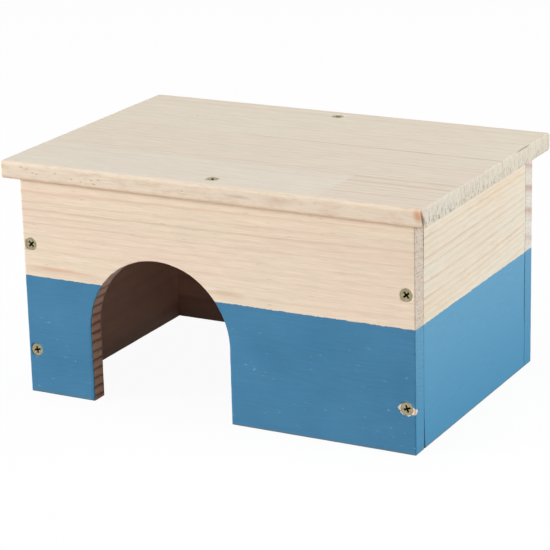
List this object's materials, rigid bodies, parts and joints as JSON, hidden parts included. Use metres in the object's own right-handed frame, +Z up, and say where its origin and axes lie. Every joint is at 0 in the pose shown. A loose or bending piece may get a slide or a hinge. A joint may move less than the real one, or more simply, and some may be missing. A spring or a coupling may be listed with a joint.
{
  "type": "wooden hamster house",
  "caption": "Open-bottomed wooden hideout for a hamster: pine boards screwed into a box, with a flat overhanging roof, an arched doorway and a painted lower half.",
  "frame": {"origin": "on the floor, under the middle of the walls and of the roof", "axes": "+Z up, +X along the width with the doorway left of the middle, and the doorway faces -Y"},
  "size_m": [0.25, 0.17, 0.1335],
  "materials": {
    "planed_pine": "planed bare pine, no coating",
    "pine_with_blue_base": "planed bare pine, with matte blue paint on the outside below 68 mm",
    "yellow_zinc_screw": "dull yellow zinc plate"
  },
  "bodies": {
    "root": {"roof": "planed_pine", "front_panel": "pine_with_blue_base", "back_panel": "pine_with_blue_base", "left_panel": "pine_with_blue_base", "right_panel": "pine_with_blue_base", "front_screw_low_left": "yellow_zinc_screw", "front_screw_high_left": "yellow_zinc_screw", "front_screw_low_right": "yellow_zinc_screw", "front_screw_high_right": "yellow_zinc_screw", "back_screw_low_left": "yellow_zinc_screw", "back_screw_high_left": "yellow_zinc_screw", "back_screw_low_right": "yellow_zinc_screw", "back_screw_high_right": "yellow_zinc_screw", "roof_screw_front": "yellow_zinc_screw", "roof_screw_back": "yellow_zinc_screw"}
  },
  "joints": []
}
